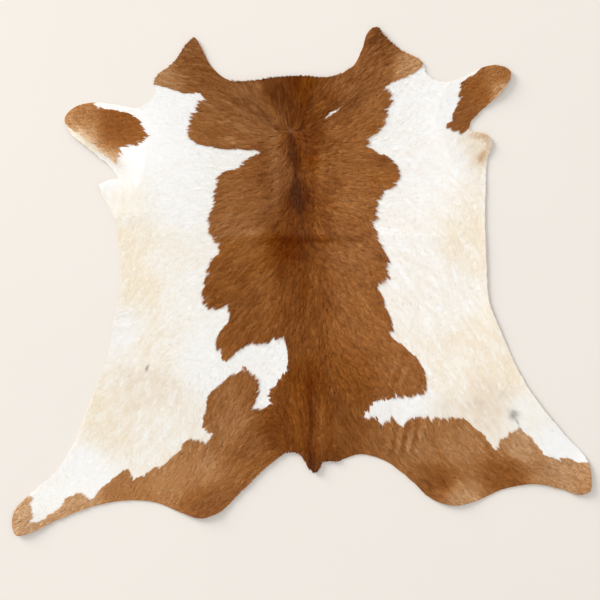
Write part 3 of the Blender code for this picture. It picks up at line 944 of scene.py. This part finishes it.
def grown(growth):
    """Hairs all over the hide: where each is rooted, bends and ends, and what it belongs to."""
    x, y = scattered(growth.spacing)
    count = len(x)
    lock = lock_of(x, y)
    on_back = np.clip(1.5 - np.abs(x) / BACK_HALF_WIDTH, 0, 1)
    on_back = on_back * on_back * (3 - 2 * on_back)
    length = (LEG_LENGTH + (BACK_LENGTH - LEG_LENGTH) * on_back) * lock_reach[lock]
    loft = growth.loft * (1 + 0.5 * read(liveliness, x, y))
    height = loft * (LEG_HEIGHT + (BACK_HEIGHT - LEG_HEIGHT) * on_back)

    # The axis of the lock, which its hairs lean to.
    axis_x, axis_y = lock_x[lock], lock_y[lock]
    own_x, own_y = read(lay_x, x, y), read(lay_y, x, y)
    heading_x = own_x + read(lay_x, axis_x, axis_y)
    heading_y = own_y + read(lay_y, axis_x, axis_y)
    turn = np.radians(growth.swing * lock_turn[lock] + 4 * rng.standard_normal(count))
    heading_x, heading_y = (
        heading_x * np.cos(turn) - heading_y * np.sin(turn),
        heading_x * np.sin(turn) + heading_y * np.cos(turn),
    )
    size = np.maximum(np.hypot(heading_x, heading_y), 1e-6)
    heading_x, heading_y = heading_x / size, heading_y / size
    aside = -(x - axis_x) * heading_y + (y - axis_y) * heading_x
    length *= 1.08 - 0.4 * np.clip(np.abs(aside) / (0.5 * LOCK_SPACING), 0, 1) ** 2
    length *= 1 + 0.08 * rng.standard_normal(count)

    # The rim's cut takes off what would hang over it by more than a hair or two.
    kept = np.ones(count)
    slack = np.minimum(0.5 - 0.35 * rng.random(count) ** 2, read(within_rim, x, y))
    for share in np.linspace(1, 0.1, 10):
        over = read(within_rim, x + heading_x * length * share, y + heading_y * length * share) < slack
        kept = np.where(over, share - 0.1, kept)
    length = length * np.maximum(kept, SHORTEST_CUT)

    ways = []
    for share, lean, rise in ((0, 0, -0.08), (BEND_AT, 0.3, 0.58), (1, 1, 1)):
        at_x = x + heading_x * length * share + heading_y * aside * lean * growth.lean
        at_y = y + heading_y * length * share - heading_x * aside * lean * growth.lean
        bed_height = read(lie, at_x, at_y) + creases_at(at_x, at_y) + SKIN_THICKNESS
        uneven = growth.unevenness * lock_rise[lock] + growth.ruffle * rng.standard_normal(count)
        ways.append(np.stack((at_x, at_y, bed_height + rise * height * (1 + uneven * share)), axis=1))

    # A blade is a long diamond: one point at the root, two at the bend, one at the tip.
    roll = np.radians(growth.roll) * (1 + 0.5 * read(liveliness, x, y)) * rng.standard_normal(count)
    side = np.stack((-heading_y * np.cos(roll), heading_x * np.cos(roll), np.sin(roll)), axis=1)
    half = 0.5 * growth.width * (1 + 0.2 * rng.standard_normal(count))[:, None] * side
    root, bend, tip = ways
    corners = np.stack((root, bend + half, bend - half, tip), axis=1)

    # Which colour a hair has is settled by where most of it shows, half by itself and half by its lock.
    seen_x = 0.5 * (x + axis_x) + heading_x * length * MARKING_AT
    seen_y = 0.5 * (y + axis_y) + heading_y * length * MARKING_AT
    is_brown = (read(brown, seen_x, seen_y) > 0.5) & (spindle(WHITE_FLECK, seen_x, seen_y) < 0.4)
    return corners, seen_x, seen_y, lock, is_brown


def coat_piece(name, corners, numbers, finish):
    """One mesh of blades, with its numbers for the finish and its place in plan as its map."""
    count = len(corners)
    mesh = bpy.data.meshes.new(name)
    faces = (np.arange(count)[:, None] * 4 + (0, 2, 1, 1, 2, 3)).ravel()
    mesh.vertices.add(count * 4)
    mesh.vertices.foreach_set("co", corners.astype(np.float32).ravel())
    mesh.loops.add(count * 6)
    mesh.loops.foreach_set("vertex_index", faces.astype(np.int32))
    mesh.polygons.add(count * 2)
    mesh.polygons.foreach_set("loop_start", np.arange(count * 2, dtype=np.int32) * 3)
    for number, values in numbers.items():
        kept = mesh.attributes.new(number, "FLOAT", "POINT")
        kept.data.foreach_set("value", np.repeat(values, 4).astype(np.float32))
    flat = corners[..., :2].reshape(-1, 2)
    low, high = flat.min(axis=0), flat.max(axis=0)
    spread = 0.01 + 0.98 * (flat - low) / (high - low)
    plan_map = mesh.uv_layers.new(name="OFBake")
    plan_map.data.foreach_set("uv", spread[faces].astype(np.float32).ravel())
    mesh.update(calc_edges=True)
    mesh.shade_smooth()
    mesh.materials.append(finish.material)
    piece = bpy.data.objects.new(name, mesh)
    bpy.context.scene.collection.objects.link(piece)
    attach(piece, "root")
    return piece


def hair(name, coloured, specular, relief):
    """A finish for hair: streaky, faintly glossy and a little rough along each strand."""
    finish = Finish(name)
    strand = finish.grain(1300, 2)
    finish.feed(finish.shader.inputs["Base Color"], coloured(finish, strand))
    finish.feed(finish.shader.inputs["Roughness"], 0.5 + 0.2 * strand)
    finish.shader.inputs["Specular IOR Level"].default_value = specular
    bump = finish.node("Bump", {}, {"Strength": relief, "Height": strand, "Distance": 0.0003})
    finish.feed(finish.shader.inputs["Normal"], bump)
    return finish


chestnut_hair = hair("chestnut_hair", brown_colour, 0.04, 0.3)
white_hair = hair("white_hair", white_colour, 0.1, 0.1)

corners, seen_x, seen_y, lock, is_brown = grown(BROWN_GROWTH)
own_shade = 0.015 * lock_shade[lock] + 0.035 * rng.standard_normal(len(seen_x))
numbers = {
    "tone": np.clip(read(brown_tone, seen_x, seen_y) + own_shade, 0, 1),
    "red": np.clip(read(brown_red, seen_x, seen_y), 0, 1),
}
for name, near, far in (
    ("brown_coat_neck", 0.195, 1),
    ("brown_coat_ribs", 0.035, 0.195),
    ("brown_coat_loin", -0.19, 0.035),
    ("brown_coat_rump", -1, -0.19),
):
    mine = is_brown & (seen_y > near) & (seen_y <= far)
    own_numbers = {key: values[mine] for key, values in numbers.items()}
    coat_piece(name, corners[mine], own_numbers, chestnut_hair)

corners, seen_x, seen_y, lock, is_brown = grown(WHITE_GROWTH)
own_shade = lock_shade[lock] + rng.standard_normal(len(seen_x))
own_shade *= 0.01 + 0.05 * read(stained_and_shaded, seen_x, seen_y)
ash = sum(mark.ash * spindle(mark, seen_x, seen_y) for mark in SMALL_MARKS)
tan = sum(mark.tan * spindle(mark, seen_x, seen_y) for mark in SMALL_MARKS)
numbers = {
    "cream": np.clip(read(white_cream, seen_x, seen_y) + own_shade, 0, 1),
    "grey": np.clip(read(white_grey_and_shade, seen_x, seen_y), 0, 1),
    "ash": np.clip(ash, 0, 1),
    "tan": np.clip(tan, 0, 1),
}
for name, left, right in (("white_coat_left", -1, 0), ("white_coat_right", 0, 1)):
    mine = ~is_brown & (seen_x > left) & (seen_x <= right)
    own_numbers = {key: values[mine] for key, values in numbers.items()}
    coat_piece(name, corners[mine], own_numbers, white_hair)

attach(skin, "root")
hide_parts("hide")


# The studio: a plain warm-white floor, a broad soft lamp from the upper left, an even pale surround, and a
# long lens looking straight down.

FLOOR_WIDTH = 8
LAMP_PLACE = (-8.9, 7.1, 3.7)
LAMP_WIDTH = 5.8
LAMP_WATTS = 1680
SURROUND_COLOUR = (1.0, 0.985, 0.97, 1)
SURROUND_STRENGTH = 0.8
LENS = 100
SENSOR = 36
VIEW_WIDTH = 1.0368
VIEW_MIDDLE = (-0.0031, -0.0323)

bpy.ops.mesh.primitive_plane_add(size=FLOOR_WIDTH, location=(0, 0, cad_low.z))
floor = bpy.context.object
floor.name = "floor"
floor_finish = Finish("plain_floor")
floor_grain = floor_finish.grain(3, 2)
floor_colour = floor_finish.mix(floor_grain, colour(227, 222, 216), colour(230, 225, 219))
floor_finish.feed(floor_finish.shader.inputs["Base Color"], floor_colour)
floor_finish.feed(floor_finish.shader.inputs["Roughness"], 0.8 + 0.1 * floor_grain)
floor_finish.shader.inputs["Specular IOR Level"].default_value = 0.1
floor.data.materials.append(floor_finish.material)

surround = bpy.data.worlds.new("surround")
surround.use_nodes = True
surround.node_tree.nodes["Background"].inputs["Color"].default_value = SURROUND_COLOUR
surround.node_tree.nodes["Background"].inputs["Strength"].default_value = SURROUND_STRENGTH
bpy.context.scene.world = surround

bpy.ops.object.light_add(type="AREA", location=LAMP_PLACE)
lamp = bpy.context.object
lamp.data.shape = "DISK"
lamp.data.size = LAMP_WIDTH
lamp.data.energy = LAMP_WATTS
lamp.data.color = (1.0, 0.98, 0.95)
lamp.rotation_mode = "QUATERNION"
lamp.rotation_quaternion = (-lamp.location).to_track_quat("-Z", "Y")

bpy.ops.object.camera_add(location=(*VIEW_MIDDLE, VIEW_WIDTH * LENS / SENSOR))
camera = bpy.context.object
camera.data.lens = LENS
camera.data.sensor_width = SENSOR
camera.rotation_euler = (0, 0, 0)
bpy.context.scene.camera = camera
bpy.context.scene.view_settings.view_transform = "Standard"
